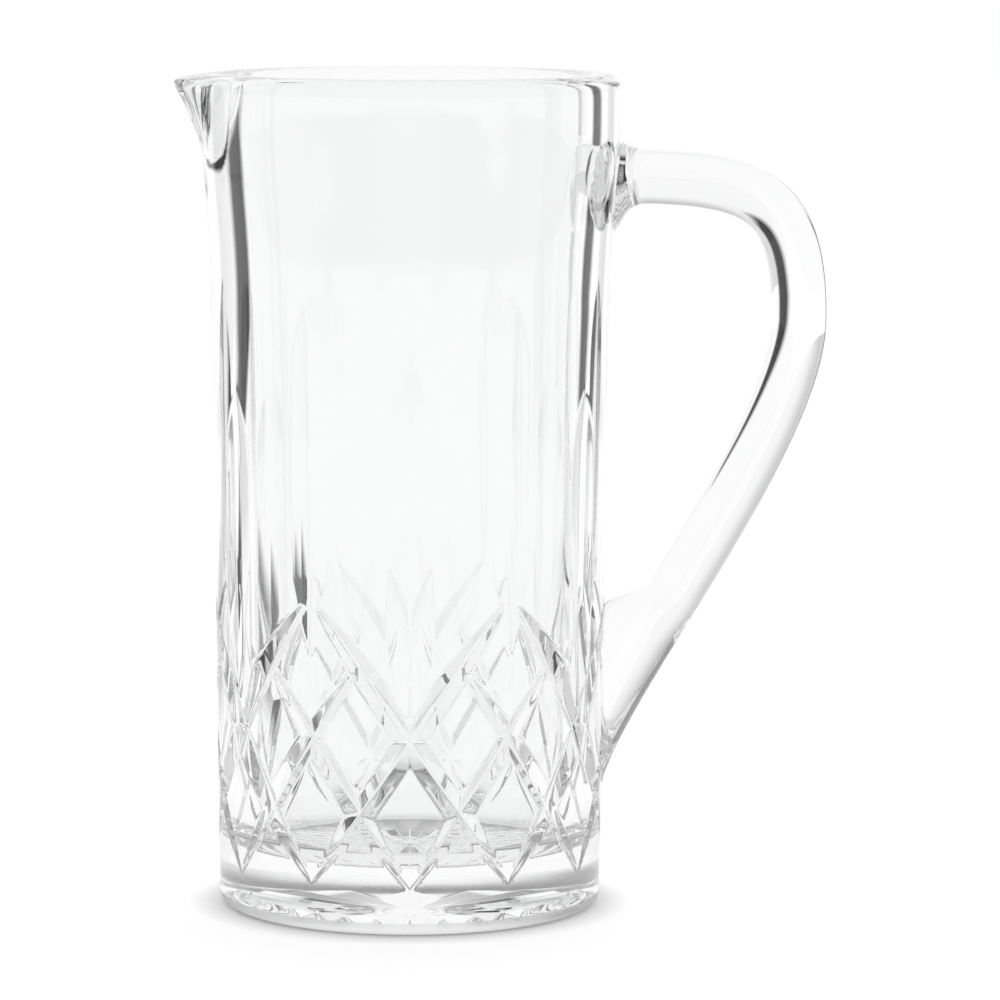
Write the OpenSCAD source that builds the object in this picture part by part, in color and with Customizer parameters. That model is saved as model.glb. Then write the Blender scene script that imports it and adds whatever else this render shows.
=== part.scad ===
// Heavy pressed glass pitcher with a pulled spout, a cut lattice and an applied handle.
// Millimetres, +Z up, origin at the centre of the foot.
// The spout points to -X, the handle to +X, and a lattice column faces -Y.

/* [Vessel] */
// Height from the foot to the rim
body_h = 225; // [200:1:250]
// Outside diameter just above the foot
foot_d = 103.4; // [98:0.2:106]
// Outside diameter where the wall begins to flare
waist_d = 107.4; // [106:0.2:110]
// Outside diameter at the rim
rim_d = 112.2; // [110.2:0.2:116]
// Wall thickness at the floor
wall_foot = 10.8; // [9:0.1:12]
// Wall thickness at the rim
wall_rim = 9.8; // [8:0.1:11]
// Glass under the cavity
floor_t = 16; // [10:0.5:22]
// Inside rounding between the wall and the floor
floor_round = 10; // [6:0.5:14]
// Rounding of the foot edge
foot_round = 2.6; // [1:0.1:4]
// Rounding of both rim edges
rim_round = 3.2; // [1.5:0.1:3.8]
// Height over which the wall flares towards the rim
flare_len = 48; // [36:1:60]
// How far below the rim the flare is complete
flare_drop = 12; // [6:0.5:18]

/* [Spout] */
// How far the spout reaches past the rim
spout_reach = 8.6; // [5:0.1:11]
// Height of the outside of the spout
spout_h = 23; // [18:0.5:30]
// Height of the pouring channel inside the spout
channel_h = 36; // [28:0.5:42]
// Glass left between the channel and the tip
spout_wall = 5.4; // [4.5:0.1:7]
// Half of the angle that the spout takes of the rim
spout_half_angle = 28; // [22:1:34]
// How far the tip lies below the rim
spout_drop = 0.6; // [0.3:0.1:1.2]
// Rounding of the outer edge at the tip
tip_round = 0.8; // [0.5:0.1:2]

/* [Cut lattice] */
// Number of lattice columns round the wall
columns = 12; // [8:2:16]
// Height at which two arch grooves cross, at the middle of their length
arch_mid = 51.8; // [48:0.1:56]
// Height that an arch groove gains from there to the point of the arch, and loses to its lower end
arch_climb = 37.7; // [34:0.1:40]
// Depth of an arch groove at its middle
arch_depth = 2.4; // [1.4:0.1:2.8]
// Height of the middle of the grooves between the arches
link_mid = 42.2; // [40:0.1:45]
// Height that a groove between the arches gains from its middle to its end
link_climb = 29.1; // [26:0.1:31]
// Depth of a groove between the arches at its middle
link_depth = 1.8; // [1.2:0.1:2.4]
// Depth that is left at the lower ends of the grooves
groove_toe = 0.2; // [0.1:0.05:0.6]
// Slope of the groove flanks against the wall
groove_flank = 31; // [25:1:40]

/* [Flutes] */
// Depth of the short flutes
short_depth = 1.3; // [0.8:0.1:1.8]
// Height of the upper end of the short flutes
short_top = 143; // [120:1:155]
// Height of the lower end of the short flutes, between the legs of the arches
short_foot = 58.3; // [57:0.1:60]
// Depth of the tall flutes
tall_depth = 1.05; // [0.7:0.05:1.6]
// Height of the upper end of the tall flutes
tall_top = 170; // [158:1:185]
// Height of the pointed lower end of the tall flutes
tall_foot = 72.4; // [66:0.2:78]
// Height over which the tall flutes fade out
tall_fade = 22; // [14:1:30]
// Slope of the flute flanks against the wall
flute_flank = 9; // [7:0.5:12]

/* [Foot star] */
// Number of rays of the star cut into the underside
star_rays = 24; // [12:2:32]
// Diameter of the star
star_d = 90; // [76:1:94]
// Depth of the rays
star_depth = 1.6; // [0.8:0.1:2.2]
// Depth of the ridges between the rays
star_ridge = 0.3; // [0.1:0.1:0.6]

/* [Handle] */
// Thickness of the handle seen from the side
handle_thick = 14.8; // [12:0.1:18]
// Width of the handle seen from behind
handle_wide = 16.4; // [13:0.1:20]
// Middle of the handle at its farthest, from the vessel's axis
handle_out = 104.8; // [98:0.2:112]
// How far below the rim the middle of the upper arm meets the wall
handle_drop = 27.4; // [24:0.2:34]
// How far below the upper arm the handle stands farthest out
handle_bend = 38.6; // [30:0.2:46]
// Height of the middle of the lower end, inside the wall line
handle_foot = 31.4; // [28:0.2:40]
// Extra thickness where the upper end spreads on the wall
root_flare = 10.2; // [6:0.2:13]
// Length of the spread upper end
root_len = 9.2; // [7:0.2:13]
// Extra thickness where the lower end widens into the wall
heel_flare = 7.4; // [4:0.2:10]
// Length over which the lower end widens
heel_len = 7; // [5:0.2:12]

/* [Hidden] */

overrun = 4;
sink = 0.3;
facets = 96;

// Radii and helpers of the wall
foot_r = foot_d / 2;
waist_r = waist_d / 2;
rim_r = rim_d / 2;
flare_to = body_h - flare_drop;
flare_from = flare_to - flare_len;
flare_steps = 8;

function ease(t) = t * t * (3 - 2 * t);
function clip(t) = max(0, min(1, t));
function mix(a, b, t) = a + (b - a) * t;
function wall_r(z) =
    z < flare_from ? mix(foot_r, waist_r, z / flare_from)
    : mix(waist_r, rim_r, ease(clip((z - flare_from) / (flare_to - flare_from))));
function wall_t(z) = mix(wall_foot, wall_rim, clip(z / body_h));
function inner_r(z) = wall_r(z) - wall_t(z);
flare_rows = [for (k = [0 : flare_steps]) mix(flare_from, flare_to, k / flare_steps)];

// Spout: how far it stands out at an angle from its middle and at a height
tip_sharp_share = 0.14;
spout_rise_share = 1.3;
channel_rise_share = 1.5;
spout_cols = 20;
spout_rows = 9;
edge_rows = 4;
star_past_share = 1.08;
star_bend_share = 0.66;
star_eye_share = 0.08;
spout_top = body_h - spout_drop;

function beak(a) =
    pow(max(0, 1 - norm([a / spout_half_angle, tip_sharp_share])), 2) / pow(1 - tip_sharp_share, 2);
function rise(z, from, share) = pow(clip((z - from) / (body_h - from)), share);
function spout_r(a, z) =
    wall_r(z) + spout_reach * rise(z, body_h - spout_h, spout_rise_share) * beak(a);
channel_reach = spout_reach + wall_rim - spout_wall;
function channel_r(a, z) =
    inner_r(z) + channel_reach * rise(z, body_h - channel_h, channel_rise_share) * beak(a);

// Angles of the lattice, and how far the wall leans outward below the flare
col_angle = 360 / columns;
link_half_angle = 3 / 4 * col_angle;
front = -90;
wall_lean = atan((waist_r - foot_r) / flare_from);

// Joins two rings of points, each a list of equal length, into side faces
function ring_faces(rings, sides) = [
    for (i = [0 : rings - 2], j = [0 : sides - 1])
        let (a = i * sides + j, b = i * sides + (j + 1) % sides)
        each [[a, b, b + sides], [a, b + sides, a + sides]]
];

// A closed solid skinned over a list of rings of points
module skin(rings) {
    sides = len(rings[0]);
    last = len(rings) - 1;
    polyhedron(
        points = [for (r = rings) each r],
        faces = concat(
            ring_faces(len(rings), sides),
            [[for (j = [sides - 1 : -1 : 0]) j]],
            [[for (j = [0 : sides - 1]) last * sides + j]]
        ),
        convexity = 6
    );
}

// Solid of revolution that the wall is cut from
module outer_form() {
    rotate_extrude($fn = facets) {
        polygon(concat(
            [[0, 0], [foot_r - foot_round, 0], [foot_r, foot_round]],
            [for (z = flare_rows) [wall_r(z), z]],
            [[rim_r, body_h - rim_round], [rim_r - rim_round, body_h], [0, body_h]]
        ));
        translate([foot_r - foot_round, foot_round]) circle(foot_round);
        translate([rim_r - rim_round, body_h - rim_round]) circle(rim_round);
    }
}

// Inside of the vessel, with the rounded inner edge of the rim
module cavity() {
    low_r = inner_r(floor_t);
    edge_r = inner_r(body_h);
    rotate_extrude($fn = facets) {
        polygon(concat(
            [[0, floor_t], [low_r - floor_round, floor_t], [low_r, floor_t + floor_round]],
            [for (z = flare_rows) [inner_r(z), z]],
            [[edge_r, body_h + overrun], [0, body_h + overrun]]
        ));
        translate([low_r - floor_round, floor_t + floor_round]) circle(floor_round);
        difference() {
            translate([edge_r, body_h - rim_round]) square([rim_round, rim_round + overrun]);
            translate([edge_r + rim_round, body_h - rim_round]) circle(rim_round);
        }
    }
}

// How far the rounded upper edge of the spout lies inside its outline. The edge is sharper at the tip.
function edge_inset(a, z) =
    let (r = mix(rim_round, tip_round, beak(a)), up = max(0, z - spout_top + r))
    r - sqrt(max(0, r * r - up * up));

// One level of the spout: the outside, then back along a line buried in the wall
function spout_ring(z) = concat(
    [for (i = [0 : spout_cols])
        let (a = mix(-1, 1, i / spout_cols) * spout_half_angle, r = spout_r(a, z) - sink - edge_inset(a, z))
        [-r * cos(a), r * sin(a), z]],
    [for (i = [spout_cols : -1 : 0])
        let (a = mix(-1, 1, i / spout_cols) * spout_half_angle, r = wall_r(z) - wall_t(z) / 2)
        [-r * cos(a), r * sin(a), z]]
);

// Outward swelling of the wall that carries the pouring lip
module spout() {
    from = body_h - spout_h - overrun;
    edge = spout_top - rim_round;
    skin(concat(
        [for (k = [0 : spout_rows]) spout_ring(mix(from, edge, k / spout_rows))],
        [for (k = [1 : edge_rows]) spout_ring(edge + rim_round * sin(90 * k / edge_rows))]
    ));
}

// One level of the pouring channel, closed through the middle of the cavity
function channel_ring(z) = concat(
    [for (i = [0 : spout_cols])
        let (a = mix(-1, 1, i / spout_cols) * spout_half_angle, r = channel_r(a, z) - sink)
        [-r * cos(a), r * sin(a), z]],
    [[0, 0, z]]
);

// Channel that leads from the cavity over the lip
module channel() {
    from = body_h - channel_h - overrun;
    skin(concat(
        [for (k = [0 : spout_rows]) channel_ring(mix(from, body_h, k / spout_rows))],
        [channel_ring(body_h + overrun)]
    ));
}

// Part of a hoop with a V-shaped inner edge, set obliquely round the wall. It cuts a groove whose
// middle is at an angle and a height, and which runs out of the wall at half_angle to both sides.
module groove(angle, mid, half_angle, climb, depth, side) {
    half_w = wall_r(mid) * sin(half_angle);
    half_len = norm([half_w, climb]);
    drop = wall_r(mid) * (1 - cos(half_angle)) - depth + groove_toe;
    hoop_r = (half_len * half_len + drop * drop) / (2 * drop);
    turn = asin((half_len + overrun) / hoop_r);
    high = 2 * depth + overrun / 2;
    rotate([0, 0, angle])
        translate([wall_r(mid) - depth, 0, mid])
            rotate([0, wall_lean, 0])
                rotate([side * atan2(climb, half_w), 0, 0])
                    translate([-hoop_r, 0, 0])
                        rotate([0, 0, -turn])
                            rotate_extrude(angle = 2 * turn, $fn = 4 * facets)
                                polygon([
                                    [hoop_r, 0],
                                    [hoop_r + high, -high / tan(groove_flank)],
                                    [hoop_r + high, high / tan(groove_flank)]
                                ]);
}

// V-shaped flute standing on the wall, with a round upper end
module flute(a, from, to, depth, fade) {
    half_w = depth / tan(flute_flank) / (1 + depth / tan(flute_flank) / 2 / waist_r / tan(flute_flank));
    top = to - half_w;
    low = from + fade;
    lean = atan((wall_r(top) - wall_r(low)) / (top - low));
    deep = 3 * depth;
    rotate([0, 0, a])
        translate([wall_r(low) - depth, 0, low])
            rotate([0, lean, 0]) {
                v_prism(top - low, deep);
                translate([0, 0, top - low])
                    rotate([0, 90, 0]) cylinder(h = deep, r1 = 0, r2 = deep / tan(flute_flank), $fn = facets);
                if (fade > 0)
                    rotate([0, -atan(depth / fade), 0]) mirror([0, 0, 1]) v_prism(fade + overrun, deep);
                else
                    rotate([0, 90, 0]) cylinder(h = deep, r1 = 0, r2 = deep / tan(flute_flank), $fn = facets);
            }
}

// Upright prism with its V-shaped edge on the axis, opening towards +X
module v_prism(h, deep) {
    linear_extrude(h)
        polygon([[0, 0], [deep, -deep / tan(flute_flank)], [deep, deep / tan(flute_flank)]]);
}

// Every cut of the pattern as its kind, the angle of its middle, and the side that it rises to
even_columns = [for (k = [0 : 2 : columns - 1]) front + k * col_angle];
sides = [1, -1];
all_cuts = concat(
    [for (a = even_columns, side = sides) ["arch", a, side]],
    [for (a = even_columns, side = sides) ["link", a + side * link_half_angle, side]],
    [for (a = even_columns) ["short flute", a, 1]],
    [for (a = even_columns) ["tall flute", a + col_angle, 1]]
);
// Cuts that reach under the ends of the handle, which stands at angle 0
handle_cuts = [for (c = all_cuts) if (abs(c[1]) <= col_angle && c[0] != "short flute") c];

module cut(c) {
    if (c[0] == "arch") groove(c[1], arch_mid, col_angle, arch_climb, arch_depth, c[2]);
    if (c[0] == "link") groove(c[1], link_mid, link_half_angle, link_climb, link_depth, c[2]);
    if (c[0] == "short flute") flute(c[1], short_foot, short_top, short_depth, 0);
    if (c[0] == "tall flute") flute(c[1], tall_foot, tall_top, tall_depth, tall_fade);
}

// The solid of revolution after the first n cuts of a list, made one after another
module carved(cuts, n) {
    if (n == 0)
        outer_form();
    else
        difference() {
            carved(cuts, n - 1);
            cut(cuts[n - 1]);
        }
}

// One level of the star: a ring of points that lie at the height of a ray and of a ridge by turns
function star_ring(r, ray_z, ridge_z) = [
    for (j = [0 : 2 * star_rays - 1])
        let (a = front - 180 * j / star_rays)
        [r * cos(a), r * sin(a), j % 2 == 0 ? ray_z : ridge_z]
];

// Star-shaped hollow in the underside, deepest at its bend and running out at its diameter
module foot_star() {
    star_r = star_d / 2;
    past = -(star_past_share - 1) / (1 - star_bend_share);
    skin([
        star_ring(star_past_share * star_r, -overrun, -overrun),
        star_ring(star_past_share * star_r, past * star_depth, past * star_ridge),
        star_ring(star_bend_share * star_r, star_depth, star_ridge),
        star_ring(star_eye_share * star_r, star_ridge, star_ridge)
    ]);
}

module vessel() {
    color([0.88, 0.93, 0.94])
        difference() {
            union() {
                carved(all_cuts, len(all_cuts));
                spout();
            }
            cavity();
            channel();
            foot_star();
        }
}

// Middle line of the handle: two Bezier arcs that meet where the handle stands farthest out
heel_sunk_share = 0.6;
upper_pull_share = 0.75;
handle_top = body_h - handle_drop;
handle_mid = handle_top - handle_bend;
root_r = wall_r(handle_top);
handle_from = [root_r - 3 / 4 * wall_t(handle_top), handle_top];
handle_to = [foot_r - heel_sunk_share * wall_foot, handle_foot];
handle_far = [handle_out, handle_mid];
upper_drop_share = 0.97;
lower_drop_share = 0.277;
lower_lift_share = 0.164;
span_x = handle_out - handle_from[0];
drop_top = handle_top - handle_mid;
drop_low = handle_mid - handle_foot;
upper_arc = [
    handle_from,
    handle_from + [upper_pull_share * span_x, 0],
    handle_far + [0, upper_drop_share * drop_top],
    handle_far
];
lower_arc = [
    handle_far,
    handle_far - [0, lower_drop_share * drop_low],
    handle_to + [0, lower_lift_share * drop_low],
    handle_to
];
arc_steps = 26;
handle_sides = 24;
root_wide_share = 0.6;
tail_share = 0.77;
tail_from_share = 0.957;

function bezier(p, t) =
    pow(1 - t, 3) * p[0] + 3 * pow(1 - t, 2) * t * p[1]
    + 3 * (1 - t) * pow(t, 2) * p[2] + pow(t, 3) * p[3];
function bezier_dir(p, t) =
    let (d = pow(1 - t, 2) * (p[1] - p[0]) + 2 * (1 - t) * t * (p[2] - p[1]) + pow(t, 2) * (p[3] - p[2]))
    d / norm(d);

// Spread of the upper end, from 1 at the wall to 0 at the end of the spread
function spread(x) = pow(clip((root_r + root_len - x) / root_len), 3);
// Widening of the lower end on its inner side, from 0 where it begins to 1 where it reaches the wall
heel_r = waist_r + 3 / 4 * handle_thick;
function heel(x) = heel_flare * ease(clip((heel_r + heel_len - x) / heel_len));
function tail(t) = mix(1, tail_share, ease(clip((t - tail_from_share) / (1 - tail_from_share))));

// Cross-section of the handle at a point of its middle line
function handle_ring(p, d, thick, wide) = [
    for (j = [0 : handle_sides - 1])
        let (a = 360 * j / handle_sides, n = thick / 2 * cos(a))
        [p[0] - d[1] * n, wide / 2 * sin(a), p[1] + d[0] * n]
];

handle_rings = concat(
    [for (k = [0 : arc_steps])
        let (t = k / arc_steps, p = bezier(upper_arc, t), s = spread(p[0]))
        handle_ring(
            p - [0, s * root_flare / 4], bezier_dir(upper_arc, t),
            handle_thick + s * root_flare, handle_wide + root_wide_share * s * root_flare
        )],
    [for (k = [1 : arc_steps])
        let (t = k / arc_steps, p = bezier(lower_arc, t), d = bezier_dir(lower_arc, t), more = heel(p[0]))
        handle_ring(
            p + [d[1], -d[0]] * more / 2, d,
            handle_thick * tail(t) + more, handle_wide * tail(t)
        )]
);

module handle() {
    color([0.84, 0.90, 0.92])
        difference() {
            skin(handle_rings);
            carved(handle_cuts, len(handle_cuts));
        }
}

vessel();
handle();
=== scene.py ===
import math

import bpy
import numpy as np
from mathutils import Matrix


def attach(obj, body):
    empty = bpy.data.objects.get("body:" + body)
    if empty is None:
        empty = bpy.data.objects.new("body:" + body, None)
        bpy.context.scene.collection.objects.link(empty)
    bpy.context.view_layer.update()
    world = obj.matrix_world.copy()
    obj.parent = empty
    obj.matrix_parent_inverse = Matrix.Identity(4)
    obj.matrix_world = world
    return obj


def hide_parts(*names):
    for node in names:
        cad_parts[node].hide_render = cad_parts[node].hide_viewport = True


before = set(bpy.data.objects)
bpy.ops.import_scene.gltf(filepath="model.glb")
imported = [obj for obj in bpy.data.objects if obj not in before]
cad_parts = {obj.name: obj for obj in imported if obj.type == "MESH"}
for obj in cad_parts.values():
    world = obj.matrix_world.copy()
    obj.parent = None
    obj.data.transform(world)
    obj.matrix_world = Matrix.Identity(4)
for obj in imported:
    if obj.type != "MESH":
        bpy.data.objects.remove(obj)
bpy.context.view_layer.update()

MM = 0.001
DEG = math.pi / 180

# ---------------------------------------------------------------- sizes, in mm and degrees
# They are the CAD source's own values, apart from seven that were fitted to the photograph after
# the source was finished. The source has FOOT_ROUND 2.6, SPOUT_REACH 8.6, CHANNEL_H 36,
# SPOUT_DROP 0.6, TIP_ROUND 0.8, CHANNEL_RISE 1.5 and STAR_DEPTH 1.6. It has no FLUTE_TIP,
# GROOVE_SOFT or FLUTE_SOFT.
BODY_H = 225.0
FOOT_R, WAIST_R, RIM_R = 51.7, 53.7, 56.1
WALL_FOOT, WALL_RIM = 10.8, 9.8
FLARE_FROM, FLARE_TO = 165.0, 213.0
FLOOR_T, FLOOR_ROUND = 16.0, 10.0
FOOT_ROUND, RIM_ROUND = 3.6, 3.2

SPOUT_REACH, SPOUT_H, CHANNEL_H, SPOUT_WALL = 9.4, 23.0, 38.0, 5.4
SPOUT_HALF, SPOUT_DROP, TIP_ROUND = 28.0, 1.5, 2.2
SPOUT_RISE, CHANNEL_RISE = 1.3, 2.1  # powers of the height: how late the two swell out
TIP_SHARP = 0.14  # the smaller, the sharper the spout's tip is seen from above
SINK = 0.3  # the spout's and the channel's forms start this far inside the plain wall

COL = 30.0  # half the angle between two columns of the same kind
ARCH_MID, ARCH_CLIMB, ARCH_DEPTH = 51.8, 37.7, 2.4
LINK_MID, LINK_CLIMB, LINK_DEPTH, LINK_HALF = 42.2, 29.1, 1.8, 22.5
GROOVE_TOE, GROOVE_FLANK = 0.2, 31.0
SHORT_DEPTH, SHORT_TOP, SHORT_FOOT = 1.3, 143.0, 58.3
TALL_DEPTH, TALL_TOP, TALL_FOOT, TALL_FADE = 1.05, 170.0, 72.4, 22.0
FLUTE_FLANK, FLUTE_TIP = 9.0, 26.0  # FLUTE_TIP is the length of a flute's pointed upper end
GROOVE_SOFT, FLUTE_SOFT = 0.3, 0.05  # rounding of the cuts' edges
PAST_END = 5.0  # how far past its end a groove is still worked out
NO_CUT = -9.0

HANDLE_THICK, HANDLE_WIDE = 14.8, 16.4
HANDLE_OUT, HANDLE_TOP, HANDLE_MID, HANDLE_FOOT = 104.8, 197.6, 159.0, 31.4
ROOT_FLARE, ROOT_LEN, ROOT_WIDE = 10.2, 9.2, 0.6
HEEL_FLARE, HEEL_LEN = 7.4, 7.0
ROOT_SUNK, HEEL_SUNK = 3 / 4, 0.6  # shares of the wall that the handle's line runs into
UPPER_PULL, UPPER_DROP = 0.75, 0.97  # where the line's Bezier curves are pulled to, as shares
LOWER_DROP, HEEL_LIFT = 0.277, 0.164
TAIL_FROM, TAIL_THIN = 0.957, 0.77

STAR_R, STAR_RAYS, STAR_DEPTH, STAR_RIDGE = 45.0, 24, 2.2, 0.3
STAR_EYE, STAR_BEND = 0.08, 0.66

# ---------------------------------------------------------------- form of the wall


def ease(t):
    return t * t * (3 - 2 * t)


def clip(t):
    return np.clip(t, 0, 1)


def mix(a, b, t):
    return a + (b - a) * t


def wall_r(z):
    z = np.asarray(z, float)
    low = mix(FOOT_R, WAIST_R, z / FLARE_FROM)
    high = mix(WAIST_R, RIM_R, ease(clip((z - FLARE_FROM) / (FLARE_TO - FLARE_FROM))))
    return np.where(z < FLARE_FROM, low, high)


def inner_r(z):
    return wall_r(z) - mix(WALL_FOOT, WALL_RIM, clip(np.asarray(z, float) / BODY_H))


def beak(a):
    """Share of the spout's reach at an angle from its middle."""
    away = np.hypot(a / SPOUT_HALF, TIP_SHARP)
    return np.maximum(0, 1 - away) ** 2 / (1 - TIP_SHARP) ** 2


def rise(z, height, power):
    return clip((z - BODY_H + height) / height) ** power


def spout_r(a, z):
    reach = SPOUT_REACH * rise(z, SPOUT_H, SPOUT_RISE) * beak(a)
    return wall_r(z) + np.maximum(0, reach - SINK)


def channel_r(a, z):
    full = SPOUT_REACH + WALL_RIM - SPOUT_WALL
    reach = full * rise(z, CHANNEL_H, CHANNEL_RISE) * beak(a)
    return inner_r(z) + np.maximum(0, reach - SINK)


# ---------------------------------------------------------------- form of the handle
LINE_POINTS = 300  # of each of the two curves
SLICE = 1.2  # half the length of line that a point is compared with
FAR = 99.0


def bezier(p, t):
    p = [np.array(q, float) for q in p]
    t = t[:, None]
    ends = (1 - t) ** 3 * p[0] + 3 * (1 - t) ** 2 * t * p[1] + 3 * (1 - t) * t**2 * p[2]
    return ends + t**3 * p[3]


def handle_line(count):
    """Points and directions (x, z) of the handle's middle line, with the thickness and width
    there."""
    root_r = float(wall_r(HANDLE_TOP))
    start = ((1 - ROOT_SUNK) * root_r + ROOT_SUNK * float(inner_r(HANDLE_TOP)), HANDLE_TOP)
    end = (FOOT_R - HEEL_SUNK * WALL_FOOT, HANDLE_FOOT)
    far = (HANDLE_OUT, HANDLE_MID)
    fall = HANDLE_MID - HANDLE_FOOT
    upper = [start,
             (start[0] + UPPER_PULL * (HANDLE_OUT - start[0]), start[1]),
             (far[0], far[1] + UPPER_DROP * (HANDLE_TOP - HANDLE_MID)),
             far]
    lower = [far,
             (far[0], far[1] - LOWER_DROP * fall),
             (end[0], end[1] + HEEL_LIFT * fall),
             end]
    t = np.linspace(0, 1, count)
    p = np.vstack([bezier(upper, t), bezier(lower, t)[1:]])
    d = np.gradient(p, axis=0)
    d /= np.linalg.norm(d, axis=1)[:, None]
    spread = clip((root_r + ROOT_LEN - p[:, 0]) / ROOT_LEN) ** 3
    spread[count:] = 0
    tail = np.ones(len(p))
    tail[count:] = mix(1, TAIL_THIN, ease(clip((t[1:] - TAIL_FROM) / (1 - TAIL_FROM))))
    heel_from = WAIST_R + 3 / 4 * HANDLE_THICK + HEEL_LEN
    heel = HEEL_FLARE * ease(clip((heel_from - p[:, 0]) / HEEL_LEN))
    heel[:count] = 0
    p[:, 1] -= spread * ROOT_FLARE / 4
    p[:, 0] += d[:, 1] * heel / 2
    p[:, 1] -= d[:, 0] * heel / 2
    thick = (HANDLE_THICK + spread * ROOT_FLARE) * tail + heel
    wide = (HANDLE_WIDE + ROOT_WIDE * spread * ROOT_FLARE) * tail
    return p, d, thick, wide


LINE = handle_line(LINE_POINTS)


def handle_level(x, y, z):
    """Under 1 inside the handle's cross-section, over 1 outside it, for points near the handle."""
    p, d, thick, wide = LINE
    flat = np.stack([x.ravel(), z.ravel()], 1)
    best = np.full(len(flat), FAR)
    for k in range(0, len(p), 2):
        gap = flat - p[k]
        along = gap @ d[k]
        across = gap[:, 1] * d[k, 0] - gap[:, 0] * d[k, 1]
        level = np.hypot(across / (thick[k] / 2), y.ravel() / (wide[k] / 2))
        level = np.where(np.abs(along) < SLICE, level, FAR)
        best = np.minimum(best, level)
    return best.reshape(x.shape)


# ---------------------------------------------------------------- cut pattern


def column_angle(angle):
    """Angle from the nearest column of arches, the first of which faces the front."""
    return np.abs((angle + 90 + COL) % (2 * COL) - COL)


def groove_z(beta, mid, half, climb):
    """Height of a groove's middle line at an angle from the middle of its length."""
    return mid + climb * np.sin(beta * DEG) / math.sin(half * DEG)


def groove(z, beta, mid, half, climb, depth):
    """Depth that a groove has at a height and at an angle from the middle of its length."""
    r = float(wall_r(mid))
    half_w = r * math.sin(half * DEG)
    half_len = math.hypot(half_w, climb)
    drop = r * (1 - math.cos(half * DEG)) - depth + GROOVE_TOE
    hoop = (half_len**2 + drop**2) / (2 * drop)
    along = r * np.sin(beta * DEG) * half_len / half_w
    bed = depth - r * (1 - np.cos(beta * DEG)) + hoop - np.sqrt(hoop**2 - along**2)
    slope = climb * np.cos(beta * DEG) / half_w
    dist = np.abs(z - groove_z(beta, mid, half, climb)) / np.sqrt(1 + slope**2)
    return bed - dist * math.tan(GROOVE_FLANK * DEG)


def flute(s, z, low, top, depth, fade):
    """Depth of an upright V flute at arc distance s from its middle."""
    slope = math.tan(FLUTE_FLANK * DEG)
    over = clip((z - top + FLUTE_TIP) / FLUTE_TIP)
    left = depth * (1 - over * over)
    under = np.maximum(0, low + fade - z)
    if fade > 0:
        return left - depth * under / fade - np.abs(s) * slope - s * s / (2 * WAIST_R)
    return left - np.hypot(s, under) * slope - s * s / (2 * WAIST_R)


def soft_over(d, soft):
    """d where it is above 0, and 0 below, with a rounded change between the two."""
    return (d + np.sqrt(d * d + soft * soft) - soft * np.exp(-np.abs(d) / soft)) / 2


def pattern(angle, z):
    """Depth of the cut pattern below the wall, in mm, at an angle in degrees and a height."""
    u = column_angle(angle)
    grooves = np.full(u.shape, NO_CUT)
    for far in (u, -u, 2 * COL - u, u - 2 * COL):
        beta = np.clip(far, -COL - PAST_END, COL + PAST_END)
        cut = groove(z, beta, ARCH_MID, COL, ARCH_CLIMB, ARCH_DEPTH)
        grooves = np.maximum(grooves, np.where(np.abs(far) < COL + PAST_END, cut, NO_CUT))
    for far in (u, -u, 2 * COL - u):
        beta = far - LINK_HALF
        cut = groove(z, np.clip(beta, -COL, COL), LINK_MID, LINK_HALF, LINK_CLIMB, LINK_DEPTH)
        grooves = np.maximum(grooves, np.where(np.abs(beta) < LINK_HALF + PAST_END, cut, NO_CUT))
    arc = DEG * wall_r(z)
    flutes = np.maximum(
        flute(u * arc, z, SHORT_FOOT, SHORT_TOP, SHORT_DEPTH, 0),
        flute((COL - u) * arc, z, TALL_FOOT, TALL_TOP, TALL_DEPTH, TALL_FADE),
    )
    return np.maximum(soft_over(grooves, GROOVE_SOFT), soft_over(flutes, FLUTE_SOFT))


# ---------------------------------------------------------------- mesh helper


def make_object(name, verts, faces):
    """A smooth-shaded object from points in mm."""
    mesh = bpy.data.meshes.new(name)
    mesh.from_pydata([tuple(v) for v in np.asarray(verts) * MM], [], faces)
    mesh.validate()
    mesh.update()
    mesh.polygons.foreach_set("use_smooth", [True] * len(mesh.polygons))
    obj = bpy.data.objects.new(name, mesh)
    bpy.context.scene.collection.objects.link(obj)
    return obj


# ---------------------------------------------------------------- vessel
AROUND = 600
STEP = 360 / AROUND
angles = -90 + STEP * np.arange(AROUND)
# The rows of the lattice lie on a grid of its own, of GRID_SLOPE mm a degree, in which every
# crease is a straight diagonal. lattice_rows() moves them to the creases' real heights.
GRID_SLOPE = 1.3
CELL_Z = GRID_SLOPE * STEP
GRID_MID = GRID_SLOPE * COL
GRID_LOW, GRID_HIGH = -6 * CELL_Z, 2 * GRID_MID + 8 * CELL_Z
LATTICE_LOW, LATTICE_HIGH = 7.6, 95.0
CREASES_LOW, CREASES_HIGH, OUTSIDE_R = 6, 96, 48  # the outer rows whose faces follow creases

# steps between rows, each from where the one before it ends
STEP_FOOT, STEP_FLUTES, STEP_NECK, STEP_SPOUT = 1.7, 1.5, 2.6, 1.4
STEP_CHANNEL, STEP_CAVITY, STEP_EYE, STEP_STAR = 1.8, 6, 2, 1.5
FOOT_ARC, LIP_ARC, BOWL_ARC = 8, 7, 12  # steps of the quarter rounds
NECK_Z, CHANNEL_END = BODY_H - 27, BODY_H - CHANNEL_H - 2
FOOT_FLAT_R = STAR_R + 2  # one ring on the flat that the foot stands on
FLOOR_RINGS = (22, 12)  # and two on the cavity's floor
HANDLE_NEAR, HANDLE_UNDER = 16, 215  # degrees to each side, and height, of the handle's seams
ROOT_FADE = 0.06  # how fast the pattern comes back around the handle's seams


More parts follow.
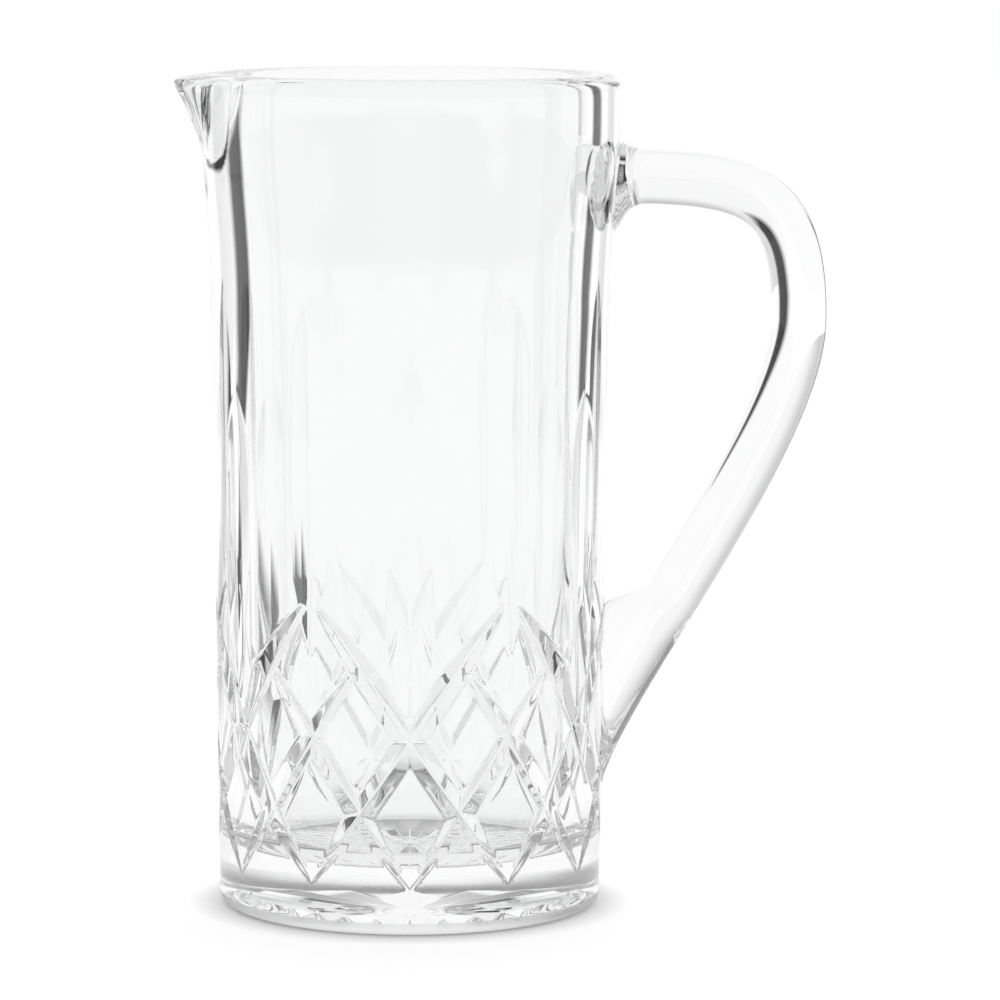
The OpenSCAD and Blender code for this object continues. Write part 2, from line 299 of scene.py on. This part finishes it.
def lattice_rows():
    """Heights of the lattice's rows at every angle, one array a row."""
    u = column_angle(angles)
    count = int(round((GRID_HIGH - GRID_LOW) / CELL_Z)) + 1
    grid = GRID_LOW + CELL_Z * np.arange(count)
    table = np.zeros((count, AROUND))
    for k in range(AROUND):
        marks = {GRID_LOW: LATTICE_LOW, GRID_HIGH: LATTICE_HIGH}
        for side in (1, -1):
            beta = side * u[k]
            marks[GRID_MID + side * GRID_SLOPE * u[k]] = groove_z(beta, ARCH_MID, COL, ARCH_CLIMB)
        for far in (u[k], 2 * COL - u[k]):
            if far < 2 * LINK_HALF + 0.01:
                beta = far - LINK_HALF
                marks[GRID_SLOPE * far] = groove_z(beta, LINK_MID, LINK_HALF, LINK_CLIMB)
        at = sorted(marks)
        table[:, k] = np.interp(grid, at, [float(marks[m]) for m in at])
    return list(table)


def rows_between(a, b, step):
    n = max(1, int(round(abs(b - a) / step)))
    return [a + (b - a) * (k + 1) / n for k in range(n)]


def outer_rows():
    """Heights of the rows of the outer wall, above the rounded foot."""
    z = rows_between(FOOT_ROUND, LATTICE_LOW, STEP_FOOT)[:-1] + lattice_rows()
    for b, step in ((TALL_TOP + 1, STEP_FLUTES), (NECK_Z, STEP_NECK),
                    (BODY_H - RIM_ROUND - SPOUT_DROP, STEP_SPOUT)):
        z += rows_between(float(np.max(z[-1])), b, step)
    return z


def star(r):
    """Height of the star cut into the underside at a radius, at every angle."""
    pitch = 360 / STAR_RAYS
    off = np.abs((angles - 90 + pitch / 2) % pitch - pitch / 2) / (pitch / 2)
    at = (STAR_EYE * STAR_R, STAR_BEND * STAR_R, STAR_R)
    ray = np.interp(r, at, (STAR_RIDGE, STAR_DEPTH, 0))
    ridge = np.interp(r, at, (STAR_RIDGE, STAR_RIDGE, 0))
    return mix(ray, ridge, off)


def quarter(steps):
    """Angles of a quarter round, from 0 to 90 degrees."""
    return [k / steps * math.pi / 2 for k in range(steps + 1)]


def vessel_rings():
    """Rings of points from the centre of the foot up the outside and down the inside."""
    a = (angles % 360) - 180  # the angle from the middle of the spout
    ca, sa = np.cos(angles * DEG), np.sin(angles * DEG)
    rings = []

    def add(r, z):
        r, z = np.broadcast_to(r, a.shape), np.broadcast_to(z, a.shape)
        rings.append(np.stack([r * ca, r * sa, z], 1))

    eye, bend = STAR_EYE * STAR_R, STAR_BEND * STAR_R
    for r in (rows_between(0, eye, STEP_EYE) + rows_between(eye, bend, STEP_STAR)
              + rows_between(bend, STAR_R, STEP_STAR) + [FOOT_FLAT_R]):
        add(r, star(r))
    base = float(wall_r(FOOT_ROUND)) - FOOT_ROUND
    for q in quarter(FOOT_ARC):
        add(base + FOOT_ROUND * math.sin(q), FOOT_ROUND * (1 - math.cos(q)))
    near = np.abs((angles + 180) % 360 - 180) < HANDLE_NEAR
    for z in outer_rows():
        z = np.broadcast_to(z, angles.shape)
        r = spout_r(a, z)
        keep = np.ones(AROUND)
        if z[0] < HANDLE_UNDER:
            level = handle_level((r * ca)[near], (r * sa)[near], z[near])
            keep[near] = clip((level - 1.0) / ROOT_FADE)
        add(r - pattern(angles, z) * keep, z)
    share = beak(a)
    top = BODY_H - SPOUT_DROP * share
    lip = mix(RIM_ROUND, TIP_ROUND, share)
    for q in quarter(LIP_ARC):
        z = top - lip * (1 - math.sin(q))
        add(spout_r(a, z) - lip * (1 - math.cos(q)), z)
    for q in reversed(quarter(LIP_ARC)):
        z = top - lip * (1 - math.sin(q))
        add(channel_r(a, z) + lip * (1 - math.cos(q)), z)
    for z in rows_between(BODY_H - RIM_ROUND - SPOUT_DROP, CHANNEL_END, STEP_CHANNEL):
        add(channel_r(a, z), z)
    for z in rows_between(CHANNEL_END, FLOOR_T + FLOOR_ROUND, STEP_CAVITY):
        add(inner_r(z), z)
    low = float(inner_r(FLOOR_T + FLOOR_ROUND)) - FLOOR_ROUND
    for q in quarter(BOWL_ARC)[1:]:
        add(low + FLOOR_ROUND * math.cos(q), FLOOR_T + FLOOR_ROUND * (1 - math.sin(q)))
    for r in FLOOR_RINGS:
        add(r, FLOOR_T)
    return rings


def build_vessel():
    rings = vessel_rings()
    verts = np.vstack(rings + [[[0, 0, STAR_RIDGE]], [[0, 0, FLOOR_T]]])
    n = AROUND
    faces = []
    i = np.arange(n)
    j = (i + 1) % n
    for k in range(len(rings) - 1):
        low, high = rings[k], rings[k + 1]
        a, b, c, d = k * n + i, k * n + j, (k + 1) * n + j, (k + 1) * n + i
        if CREASES_LOW < low[0, 2] < CREASES_HIGH and np.hypot(*low[0, :2]) > OUTSIDE_R:
            # the diagonal that runs along a crease: the one whose ends stand most evenly
            low_r, high_r = (np.linalg.norm(ring[:, :2], axis=1) for ring in (low, high))
            one = np.abs(low_r - high_r[j]) <= np.abs(low_r[j] - high_r)
            for m in range(n):
                if one[m]:
                    faces += [(a[m], b[m], c[m]), (a[m], c[m], d[m])]
                else:
                    faces += [(a[m], b[m], d[m]), (b[m], c[m], d[m])]
        else:
            faces += list(zip(a, b, c, d))
    foot, floor = len(verts) - 2, len(verts) - 1
    last = (len(rings) - 1) * n
    faces += [(foot, j[m], i[m]) for m in range(n)]
    faces += [(floor, last + i[m], last + j[m]) for m in range(n)]
    return make_object("vessel_glass", verts, [tuple(int(v) for v in f) for f in faces])


# ---------------------------------------------------------------- handle
BURIED = 0.8  # how far the handle's ends reach into the wall
SIDES = 72
ALONG = 150


def build_handle():
    p, d, thick, wide = LINE
    t = np.arange(len(p), dtype=float)
    rows = []
    for s in range(SIDES):
        q = 2 * math.pi * s / SIDES
        n = thick / 2 * math.cos(q)
        x = p[:, 0] - d[:, 1] * n
        z = p[:, 1] + d[:, 0] * n
        y = wide / 2 * math.sin(q)
        out = np.hypot(x, y) - (wall_r(z) - BURIED)
        keep = np.nonzero(out > 0)[0]
        first, last = keep[0], keep[-1]
        t0 = first - out[first] / (out[first] - out[first - 1])
        t1 = last + out[last] / (out[last] - out[last + 1])
        at = mix(t0, t1, np.linspace(0, 1, ALONG))
        rows.append(np.stack([np.interp(at, t, x), np.interp(at, t, y), np.interp(at, t, z)], 1))
    grid = np.stack(rows, 1)
    verts = grid.reshape(-1, 3)
    faces = []
    for k in range(ALONG - 1):
        for s in range(SIDES):
            e = (s + 1) % SIDES
            faces.append((k * SIDES + s, (k + 1) * SIDES + s, (k + 1) * SIDES + e, k * SIDES + e))
    caps = []
    for k, turn in ((0, -1), (ALONG - 1, 1)):
        c = len(verts) + len(caps)
        caps.append(grid[k].mean(0))
        for s in range(SIDES):
            e = (s + 1) % SIDES
            faces.append((k * SIDES + s, c, k * SIDES + e)[::turn])
    return make_object("handle_glass", np.vstack([verts, caps]), faces)


# ---------------------------------------------------------------- materials
GLASS_TINT, GLASS_IOR = (0.946, 0.950, 0.949, 1), 1.52
# The polish's waves: how many there are, their scale along the height, strength, and depth in m.
WAVE_SCALE, WAVE_TALL, WAVE_SHARE, WAVE_DEPTH = 60, 0.15, 0.35, 0.00006
GROUND_ROUGH = 0.5
SEAM_HAZE = 0.06  # the share of the light that a seam scatters
# Where the outer wall's faces may lie under the handle, in mm: past SEAM_X and SEAM_Z, within
# SEAM_Y of the middle, and no farther inside the wall's surface than SEAM_SKIN.
SEAM_X, SEAM_Y, SEAM_Z, SEAM_SKIN = 40, 16, 20, 3
IN_WALL = 0.02  # how far inside the wall a face of the handle has to lie
GROUND_R = STAR_R + 1  # the foot is ground outside this radius


def new_material(name):
    """A material with its nodes, its links and its Principled shader."""
    mat = bpy.data.materials.new(name)
    mat.use_nodes = True
    nodes, links = mat.node_tree.nodes, mat.node_tree.links
    return mat, nodes, links, nodes["Principled BSDF"]


def glass_material(name, rough=0.0):
    mat, nodes, links, shader = new_material(name)
    shader.inputs["Base Color"].default_value = GLASS_TINT
    shader.inputs["Transmission Weight"].default_value = 1.0
    shader.inputs["IOR"].default_value = GLASS_IOR
    shader.inputs["Roughness"].default_value = rough
    # fire polish: a very slow, shallow unevenness of the pressed surface
    place = nodes.new("ShaderNodeTexCoord")
    waves = nodes.new("ShaderNodeTexNoise")
    waves.inputs["Scale"].default_value = WAVE_SCALE
    waves.inputs["Detail"].default_value = 1
    bump = nodes.new("ShaderNodeBump")
    bump.inputs["Strength"].default_value = WAVE_SHARE
    bump.inputs["Distance"].default_value = WAVE_DEPTH
    stretch = nodes.new("ShaderNodeMapping")
    stretch.inputs["Scale"].default_value = (1, 1, WAVE_TALL)
    links.new(place.outputs["Object"], stretch.inputs["Vector"])
    links.new(stretch.outputs["Vector"], waves.inputs["Vector"])
    links.new(waves.outputs["Fac"], bump.inputs["Height"])
    links.new(bump.outputs["Normal"], shader.inputs["Normal"])
    return mat


def seam_material():
    """For faces inside fused glass: light passes straight on, and fine bubbles scatter a part."""
    mat, nodes, links, shader = new_material("fused_seam")
    nodes.remove(shader)
    clear = nodes.new("ShaderNodeBsdfTransparent")
    haze = nodes.new("ShaderNodeBsdfTranslucent")
    haze.inputs["Color"].default_value = (0.95, 0.95, 0.95, 1)
    both = nodes.new("ShaderNodeMixShader")
    both.inputs["Fac"].default_value = SEAM_HAZE
    links.new(clear.outputs["BSDF"], both.inputs[1])
    links.new(haze.outputs["BSDF"], both.inputs[2])
    links.new(both.outputs["Shader"], nodes["Material Output"].inputs["Surface"])
    return mat


def mark_seam(obj, inside):
    """Gives the faces that lie inside fused glass the second material, and the foot's edge the
    third."""
    mesh = obj.data
    centre = np.zeros(len(mesh.polygons) * 3)
    mesh.polygons.foreach_get("center", centre)
    centre = centre.reshape(-1, 3) / MM
    foot = (centre[:, 2] < FOOT_ROUND) & (np.hypot(centre[:, 0], centre[:, 1]) > GROUND_R)
    mesh.polygons.foreach_set("material_index", inside(centre).astype(int) + 2 * foot)


def under_handle(c):
    """Faces of the outer wall that the handle stands on."""
    r = np.hypot(c[:, 0], c[:, 1])
    near = (c[:, 0] > SEAM_X) & (np.abs(c[:, 1]) < SEAM_Y) & (r > wall_r(c[:, 2]) - SEAM_SKIN)
    near &= (c[:, 2] > SEAM_Z) & (c[:, 2] < HANDLE_UNDER)
    inside = np.zeros(len(c), bool)
    inside[near] = handle_level(c[near, 0], c[near, 1], c[near, 2]) < 1
    return inside


def in_wall(c):
    """Faces of the handle that lie inside the wall."""
    return np.hypot(c[:, 0], c[:, 1]) < wall_r(c[:, 2]) - IN_WALL


glass = glass_material("clear_glass")
seam = seam_material()
ground = glass_material("ground_foot_edge", GROUND_ROUGH)
vessel = build_vessel()
handle = build_handle()
for piece, test in ((vessel, under_handle), (handle, in_wall)):
    for material in (glass, seam, ground):
        piece.data.materials.append(material)
    mark_seam(piece, test)

for piece, node in ((vessel, "vessel"), (handle, "handle")):
    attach(piece, "root")
    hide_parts(node)

# ---------------------------------------------------------------- floor, in m
FLOOR_HALF, FLOOR_Z = 6.0, -0.0001
SHADOW_REACH = 0.010  # how far off the foot still darkens the floor
CLEAR_R, SHADOW_R = 0.0455, 0.0485  # no shadow within the first radius, all of it past the second
GLOW_SHADE, GLOW_OPEN = 0.1, 0.73  # the floor's glow in the shadow and away from it


def floor_material():
    mat, nodes, links, shader = new_material("pale_floor")
    shader.inputs["Base Color"].default_value = (0.8, 0.8, 0.8, 1)
    shader.inputs["Roughness"].default_value = 0.9
    shader.inputs["Specular IOR Level"].default_value = 0.0
    shader.inputs["Emission Color"].default_value = (1, 1, 1, 1)
    # painted shadow: the floor's own glow is lowered by ambient occlusion where the foot stands
    # over it, but not under the clear glass
    near = nodes.new("ShaderNodeAmbientOcclusion")
    near.samples = 8
    near.inputs["Distance"].default_value = SHADOW_REACH
    place = nodes.new("ShaderNodeTexCoord")
    away = nodes.new("ShaderNodeVectorMath")
    away.operation = "LENGTH"
    links.new(place.outputs["Object"], away.inputs[0])
    under = nodes.new("ShaderNodeMapRange")
    under.interpolation_type = "SMOOTHSTEP"
    under.inputs["From Min"].default_value = SHADOW_R
    under.inputs["From Max"].default_value = CLEAR_R
    links.new(away.outputs["Value"], under.inputs["Value"])
    open_share = nodes.new("ShaderNodeMath")
    open_share.operation = "MAXIMUM"
    links.new(near.outputs["AO"], open_share.inputs[0])
    links.new(under.outputs["Result"], open_share.inputs[1])
    glow = nodes.new("ShaderNodeMapRange")
    glow.inputs["To Min"].default_value = GLOW_SHADE
    glow.inputs["To Max"].default_value = GLOW_OPEN
    links.new(open_share.outputs["Value"], glow.inputs["Value"])
    links.new(glow.outputs["Result"], shader.inputs["Emission Strength"])
    return mat


corners = [(x * FLOOR_HALF, y * FLOOR_HALF, FLOOR_Z)
           for x, y in ((-1, -1), (1, -1), (1, 1), (-1, 1))]
floor_mesh = bpy.data.meshes.new("floor")
floor_mesh.from_pydata(corners, [], [(0, 1, 2, 3)])
floor = bpy.data.objects.new("floor", floor_mesh)
bpy.context.scene.collection.objects.link(floor)
floor_mesh.materials.append(floor_material())

# ---------------------------------------------------------------- light, in m
# A dark card is its place in depth, the width of its fading edges, and rows of a height with the
# card's two ends there. Its first and last rows are where it has faded out.
CARD_LEFT = (0.25, 0.05, [
    (0.000, -0.27, -0.11), (0.015, -0.27, -0.11), (0.040, -0.27, -0.11), (0.068, -0.34, -0.20),
    (0.110, -0.50, -0.25), (0.235, -0.50, -0.25), (0.275, -0.50, -0.25)])
CARD_RIGHT = (0.15, 0.018, [
    (0.010, 0.205, 0.244), (0.030, 0.202, 0.244), (0.100, 0.175, 0.235), (0.155, 0.143, 0.217),
    (0.235, 0.141, 0.210), (0.275, 0.140, 0.210)])
# Along an axis of the view's direction: where the surroundings are dim, where they are white, and
# how dim they are.
DIM_SIDES = (("Y", -0.5, 0.25, 0.42), ("Z", 0.85, 0.45, 0.42),
             ("X", -0.65, -0.2, 0.58), ("X", 0.65, 0.2, 0.74))


def dark_card(name, y, soft, rows):
    """A dark card with soft edges beside the set, seen only in the glass, that draws the glass's
    edges."""
    verts, faces, inks = [], [], []
    for k, (z, x_0, x_1) in enumerate(rows):
        full = 1.0 if 0 < k < len(rows) - 1 else 0
        for x, ink in ((x_0, 0), (x_0 + soft, full), (x_1 - soft, full), (x_1, 0)):
            verts.append((x, y, z))
            inks.append(ink)
        if k:
            faces += [(4 * k + c, 4 * k + c + 1, 4 * k + c - 3, 4 * k + c - 4) for c in range(3)]
    mesh = bpy.data.meshes.new(name)
    mesh.from_pydata(verts, [], faces)
    mesh.attributes.new("ink", "FLOAT", "POINT").data.foreach_set("value", inks)
    card = bpy.data.objects.new(name, mesh)
    bpy.context.scene.collection.objects.link(card)
    mat, nodes, links, shader = new_material(name)
    shader.inputs["Base Color"].default_value = (0.01, 0.01, 0.01, 1)
    shader.inputs["Roughness"].default_value = 1.0
    shader.inputs["Specular IOR Level"].default_value = 0.0
    opacity = nodes.new("ShaderNodeAttribute")
    opacity.attribute_name = "ink"
    links.new(opacity.outputs["Fac"], shader.inputs["Alpha"])
    mesh.materials.append(mat)
    card.visible_camera = False
    card.visible_diffuse = False
    card.visible_shadow = False


dark_card("card_left", *CARD_LEFT)
dark_card("card_right", *CARD_RIGHT)


def world_light():
    """White surroundings, dimmer towards the camera, overhead and at the sides."""
    world = bpy.data.worlds.new("studio")
    bpy.context.scene.world = world
    world.use_nodes = True
    nodes, links = world.node_tree.nodes, world.node_tree.links
    nodes.clear()
    out = nodes.new("ShaderNodeOutputWorld")
    white = nodes.new("ShaderNodeBackground")
    white.inputs["Color"].default_value = (1, 1, 1, 1)
    place = nodes.new("ShaderNodeTexCoord")
    split = nodes.new("ShaderNodeSeparateXYZ")
    links.new(place.outputs["Generated"], split.inputs["Vector"])
    product = None
    for axis, dark, light, dim in DIM_SIDES:
        level = nodes.new("ShaderNodeMapRange")
        level.interpolation_type = "SMOOTHSTEP"
        level.inputs["From Min"].default_value = min(dark, light)
        level.inputs["From Max"].default_value = max(dark, light)
        level.inputs["To Min"].default_value = dim if dark < light else 1.0
        level.inputs["To Max"].default_value = 1.0 if dark < light else dim
        links.new(split.outputs[axis], level.inputs["Value"])
        if product is None:
            product = level.outputs["Result"]
            continue
        both = nodes.new("ShaderNodeMath")
        both.operation = "MULTIPLY"
        links.new(product, both.inputs[0])
        links.new(level.outputs["Result"], both.inputs[1])
        product = both.outputs[0]
    links.new(product, white.inputs["Strength"])
    links.new(white.outputs["Background"], out.inputs["Surface"])


world_light()

# ---------------------------------------------------------------- camera, in m and radians
SENSOR_MM, FRAME_PX, FOCAL_PX = 36, 1000, 5045.0
CAMERA_AT = (0.0, -1.3560, 0.2731)
YAW, PITCH, ROLL = 0.0179, 0.1199, 0.0036


def make_camera():
    data = bpy.data.cameras.new("camera")
    data.sensor_width = SENSOR_MM
    data.lens = FOCAL_PX * SENSOR_MM / FRAME_PX
    data.clip_end = 50
    cam = bpy.data.objects.new("camera", data)
    bpy.context.scene.collection.objects.link(cam)
    ahead = np.array([math.sin(YAW), math.cos(YAW), 0])
    right = np.array([math.cos(YAW), -math.sin(YAW), 0])
    up = np.array([0, 0, 1.0])
    look = ahead * math.cos(PITCH) - up * math.sin(PITCH)
    up = up * math.cos(PITCH) + ahead * math.sin(PITCH)
    side = right * math.cos(ROLL) + up * math.sin(ROLL)
    up = up * math.cos(ROLL) - right * math.sin(ROLL)
    turn = Matrix((side, up, -look)).transposed().to_4x4()
    turn.translation = CAMERA_AT
    cam.matrix_world = turn
    bpy.context.scene.camera = cam


make_camera()
bpy.context.scene.view_settings.view_transform = "Standard"
# light is reflected many times inside a thick glass wall before it leaves it
light_paths = bpy.context.scene.cycles
light_paths.max_bounces = 40
light_paths.glossy_bounces = 32
light_paths.transmission_bounces = 32
light_paths.transparent_max_bounces = 32
